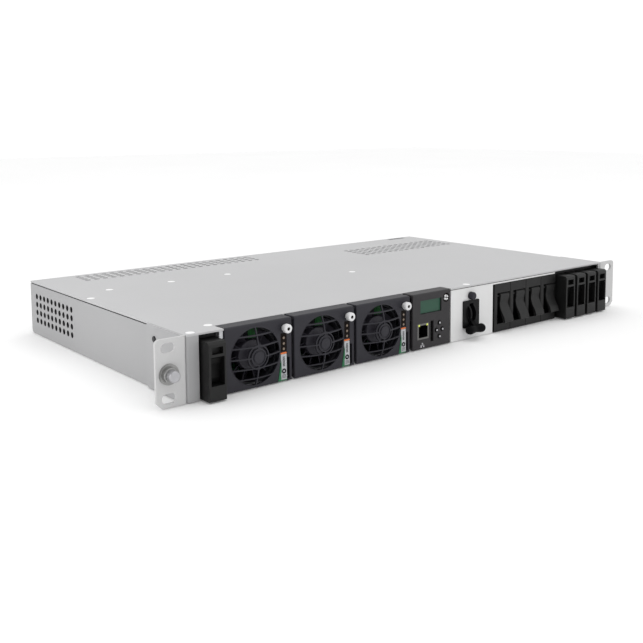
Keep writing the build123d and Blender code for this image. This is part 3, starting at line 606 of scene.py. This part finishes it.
def make_jack_details():
    """Link lights in the socket's top corners, its contacts and a generic network mark below it."""
    low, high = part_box("network_jack")
    centre = (low + high) / 2
    lamps = bmesh.new()
    for x in (low.x + 1.0 * MM, high.x - 2.6 * MM):
        add_block(lamps, Vector((x, low.y - 0.2 * MM, high.z - 2.0 * MM)),
                  Vector((x + 1.6 * MM, low.y + 0.6 * MM, high.z - 0.5 * MM)), 0.0002, 3)
    piece("link_lights", lamps, LINK_LIGHT, "controller")
    pins = bmesh.new()
    for k in range(CONTACTS):
        x = centre.x + (k - (CONTACTS - 1) / 2) * CONTACT_PITCH * MM
        add_tile(pins, Vector((x - 0.2 * MM, low.y + 3.0 * MM, centre.z + 4.6 * MM)),
                 Vector((0.4 * MM, 0, 0)), Vector((0, 7.5 * MM, -3.4 * MM)),
                 Vector((0, 0.15 * MM, 0.22 * MM)))
    piece("jack_contacts", pins, CONTACT, "controller")
    mark = bmesh.new()
    face = FRONT - 0.01 * MM
    mark_x, mark_z = centre.x - 1.0 * MM, MARK_HEIGHT * MM
    ink = Vector((0, -0.05 * MM, 0))
    for x, z in ((-2.0, -1.7), (0.8, -1.7), (-0.6, 0.6)):
        add_tile(mark, Vector((mark_x + x * MM, face, mark_z + z * MM)), Vector((1.2 * MM, 0, 0)),
                 Vector((0, 0, 1.1 * MM)), ink, 0.00001)
    add_tile(mark, Vector((mark_x - 1.9 * MM, face, mark_z - 0.2 * MM)), Vector((3.8 * MM, 0, 0)),
             Vector((0, 0, 0.35 * MM)), ink, 0.00001)
    piece("network_mark", mark, PRINT_AND_HIGHLIGHT, "controller")


def make_button_highlight(name):
    """A small pale dot on a button's cap: a painted highlight."""
    low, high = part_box(f"nav_{name}_button")
    centre = (low + high) / 2
    mesh = bmesh.new()
    add_lathe(mesh, Vector((centre.x, low.y + 0.02 * MM, centre.z)), (0, -1, 0),
              [(-0.1 * MM, 0), (-0.1 * MM, 0.75 * MM), (0.03 * MM, 0.75 * MM), (0.1 * MM, 0.5 * MM),
               (0.12 * MM, 0)], 24)
    piece(f"nav_{name}_highlight", mesh, PRINT_AND_HIGHLIGHT, f"nav_{name}")


def make_screw_recess():
    """A black ring round the controller's screw, at the bottom of its recess: painted shade."""
    low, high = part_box("controller_screw")
    mesh = bmesh.new()
    centre = Vector(((low.x + high.x) / 2, FRONT + RECESS_DEPTH * MM, (low.z + high.z) / 2))
    add_lathe(mesh, centre, (0, -1, 0),
              [(0, 2.6 * MM), (0.12 * MM, 2.65 * MM), (0.12 * MM, 3.5 * MM), (0, 3.55 * MM),
               (0, 2.6 * MM)], 40)
    piece("controller_screw_recess", mesh, WINDOW_AND_SHADE_BLACK, "controller")


def make_cross_screw():
    """The controller's captive screw: a head in four pale quarters, a painted highlight, round a cross
    recess in painted shade.
    """
    low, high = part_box("controller_screw")
    nose = Vector(((low.x + high.x) / 2, low.y, (low.z + high.z) / 2))
    radius = (high.x - low.x) / 2
    length = high.y - low.y
    shank = bmesh.new()
    add_lathe(shank, nose, (0, -1, 0),
              [(-0.75 * MM, 0), (-0.75 * MM, radius - 0.1 * MM), (-0.9 * MM, radius), (-1.3 * MM, radius),
               (-1.3 * MM, 1.6 * MM), (-length, 1.6 * MM), (-length, 0)], 48)
    # The shank near-black, so that it shows through the cross recess as painted shade.
    shank_piece = piece("controller_screw_shank", shank, WINDOW_AND_SHADE_BLACK, "controller_fixing")
    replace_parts(shank_piece, "controller_screw")
    head = bmesh.new()
    for k in range(4):
        turn = Matrix.Rotation(pi / 2 * k + CROSS_TURN, 3, "Y")
        outline = [Vector((CROSS_HALF * MM, 0, CROSS_HALF * MM))]
        reach = radius - 0.15 * MM
        edge = asin(CROSS_HALF * MM / reach)
        for step in range(ARC_STEPS + 1):
            angle = edge + (pi / 2 - 2 * edge) * step / ARC_STEPS
            outline.append(Vector((cos(angle) * reach, 0, sin(angle) * reach)))
        back = [head.verts.new(nose + turn @ v + Vector((0, 0.7 * MM, 0))) for v in outline]
        front = [head.verts.new(nose + turn @ (v * 0.88) + Vector((0, 0.05 * MM, 0))) for v in outline]
        head.faces.new(back)
        head.faces.new(front)
        for i in range(len(outline)):
            after = (i + 1) % len(outline)
            head.faces.new((back[i], back[after], front[after], front[i]))
    piece("controller_screw_head", head, FINISHES["thumbscrew_white"], "controller_fixing")


def make_slot_ribs():
    """Ribs inside the controller's narrow vertical slot."""
    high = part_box("network_jack")[1]
    mesh = bmesh.new()
    for k in range(RIBS):
        z = (RIB_START + RIB_PITCH * k) * MM
        add_block(mesh, Vector((high.x + 1.7 * MM, FRONT + 1.7 * MM, z)),
                  Vector((high.x + 4.7 * MM, FRONT + 2.3 * MM, z + 0.7 * MM)), 0.0001)
    piece("slot_ribs", mesh, FINISHES["switch_black"], "controller")


make_jack_details()
make_screw_recess()
make_cross_screw()
make_slot_ribs()
for name in ("up", "down", "left", "right"):
    make_button_highlight(name)


# ---- Case ------------------------------------------------------------------------------------

TERMINAL_SCREW_Z = 26.0


def make_terminal_screws(block, count):
    """Slotted clamp screws above the wire entries in the rear wall."""
    low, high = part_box(block)
    step = (high.x - low.x) / count
    mesh = bmesh.new()
    for k in range(count):
        x = low.x + step * (k + 0.5)
        z = TERMINAL_SCREW_Z * MM
        add_lathe(mesh, Vector((x, high.y - 4.8 * MM, z)), (0, 1, 0),
                  [(0, 2.3 * MM), (1.6 * MM, 2.3 * MM), (2.1 * MM, 1.9 * MM), (2.2 * MM, 0)], 28)
        add_block(mesh, Vector((x - 1.9 * MM, high.y - 2.75 * MM, z - 0.25 * MM)),
                  Vector((x + 1.9 * MM, high.y - 2.45 * MM, z + 0.25 * MM)), 0.00005)
    piece(f"{block}_screws", mesh, FINISHES["bright_steel"], "chassis")


def make_cover_seal():
    """A dark strip in the slit between the distribution panel's top edge and the cover: painted shadow."""
    low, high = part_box("distribution_panel")
    mesh = bmesh.new()
    add_block(mesh, Vector((low.x + 0.2 * MM, low.y + 0.15 * MM, high.z + 0.03 * MM)),
              Vector((high.x - 0.2 * MM, low.y + 1.2 * MM, high.z + 0.47 * MM)), 0.00005)
    piece("cover_seal", mesh, WINDOW_AND_SHADE_BLACK, "chassis")


make_cover_seal()
make_terminal_screws("ac_terminal_block", 3)
make_terminal_screws("dc_terminal_block", 6)


# ---- Stage, light and camera -----------------------------------------------------------------

FLOOR_HALF = 4.0
FLOOR_DROP = 0.0006                      # the floor lies this far below the unit
FLOOR_GLOW = 0.06
SKY_STRENGTH = 1.07
LEFT_SKY = 0.44                          # how bright the sky's far left is, next to the rest of it
SKY_EVEN_FROM = 0.45                     # the share of the way across from which the sky is even
OVERHEAD_W, OVERHEAD_SIZE = 4, 2.4
OVERHEAD_PLACE = (0.1, 0.2, 1.9)
SIDE_W, SIDE_SIZE = 0.36, 0.2
SIDE_PLACE, SIDE_TARGET = (-0.55, -0.03, 0.12), (-0.22, -0.03, 0.02)
CAMERA_X, CAMERA_AHEAD, CAMERA_Z = -0.4926, 0.483, 0.1747
AZIMUTH, ELEVATION, ROLL = radians(-40.46), radians(6.09), radians(-0.18)
LENS_MM = 50.08
SHIFT_X, SHIFT_Y = -0.054, -0.161


def make_floor():
    """A plain pale floor."""
    mesh = bmesh.new()
    bmesh.ops.create_grid(mesh, x_segments=8, y_segments=8, size=FLOOR_HALF)
    data = bpy.data.meshes.new("floor")
    mesh.to_mesh(data)
    mesh.free()
    surface = Surface("studio_floor")
    surface.link(surface.ramp(surface.noise(3), 0.3, 0.7, linear(248, 248, 248), linear(251, 251, 251)),
                 surface.shader.inputs["Base Color"])
    surface.shader.inputs["Roughness"].default_value = 0.9
    surface.shader.inputs["Specular IOR Level"].default_value = 0.1
    surface.shader.inputs["Emission Color"].default_value = (1.0, 1.0, 1.0, 1.0)
    surface.shader.inputs["Emission Strength"].default_value = FLOOR_GLOW
    data.materials.append(surface.material)
    floor = bpy.data.objects.new("floor", data)
    floor.location = (0, 0, -FLOOR_DROP)
    bpy.context.scene.collection.objects.link(floor)


def add_light(name, place, target, size, power):
    """A square area light that the camera doesn't see."""
    light = bpy.data.lights.new(name, "AREA")
    light.shape = "SQUARE"
    light.size = size
    light.energy = power
    obj = bpy.data.objects.new(name, light)
    obj.location = place
    obj.rotation_euler = (Vector(target) - Vector(place)).to_track_quat("-Z", "Y").to_euler()
    obj.visible_camera = False
    bpy.context.scene.collection.objects.link(obj)


def make_light():
    """A soft sky, darker towards the left, with a weak light overhead and a small one at the left side."""
    world = bpy.data.worlds.new("studio")
    world.use_nodes = True
    tree = world.node_tree
    background = tree.nodes["Background"]
    background.inputs["Strength"].default_value = SKY_STRENGTH
    coords = tree.nodes.new("ShaderNodeTexCoord")
    split = tree.nodes.new("ShaderNodeSeparateXYZ")
    ramp = tree.nodes.new("ShaderNodeValToRGB")
    ramp.color_ramp.elements[0].position = 0.0
    ramp.color_ramp.elements[1].position = SKY_EVEN_FROM
    ramp.color_ramp.elements[0].color = (LEFT_SKY, LEFT_SKY, LEFT_SKY, 1.0)
    ramp.color_ramp.elements[1].color = (1.0, 1.0, 1.0, 1.0)
    shift = tree.nodes.new("ShaderNodeMath")
    shift.operation = "MULTIPLY_ADD"
    shift.inputs[1].default_value = 0.5
    shift.inputs[2].default_value = 0.5
    tree.links.new(coords.outputs["Generated"], split.inputs["Vector"])
    tree.links.new(split.outputs["X"], shift.inputs[0])
    tree.links.new(shift.outputs["Value"], ramp.inputs["Fac"])
    tree.links.new(ramp.outputs["Color"], background.inputs["Color"])
    bpy.context.scene.world = world
    add_light("overhead", OVERHEAD_PLACE, (0, 0, 0), OVERHEAD_SIZE, OVERHEAD_W)
    add_light("left_side", SIDE_PLACE, SIDE_TARGET, SIDE_SIZE, SIDE_W)


def make_camera():
    """A 50 mm camera at the front left, a little above the unit."""
    forward = Vector((-sin(AZIMUTH) * cos(ELEVATION), cos(AZIMUTH) * cos(ELEVATION), -sin(ELEVATION)))
    level = Vector((cos(AZIMUTH), sin(AZIMUTH), 0))
    upright = level.cross(forward)
    right = level * cos(ROLL) + upright * sin(ROLL)
    up = upright * cos(ROLL) - level * sin(ROLL)
    camera_data = bpy.data.cameras.new("camera")
    camera_data.sensor_width = 36
    camera_data.lens = LENS_MM
    camera_data.shift_x = SHIFT_X
    camera_data.shift_y = SHIFT_Y
    camera_data.clip_start = 0.01
    camera = bpy.data.objects.new("camera", camera_data)
    turn = Matrix((right, up, -forward)).transposed().to_4x4()
    camera.matrix_world = Matrix.Translation((CAMERA_X, FRONT - CAMERA_AHEAD, CAMERA_Z)) @ turn
    bpy.context.scene.collection.objects.link(camera)
    bpy.context.scene.camera = camera


make_floor()
make_light()
make_camera()
bpy.context.scene.view_settings.view_transform = "Standard"
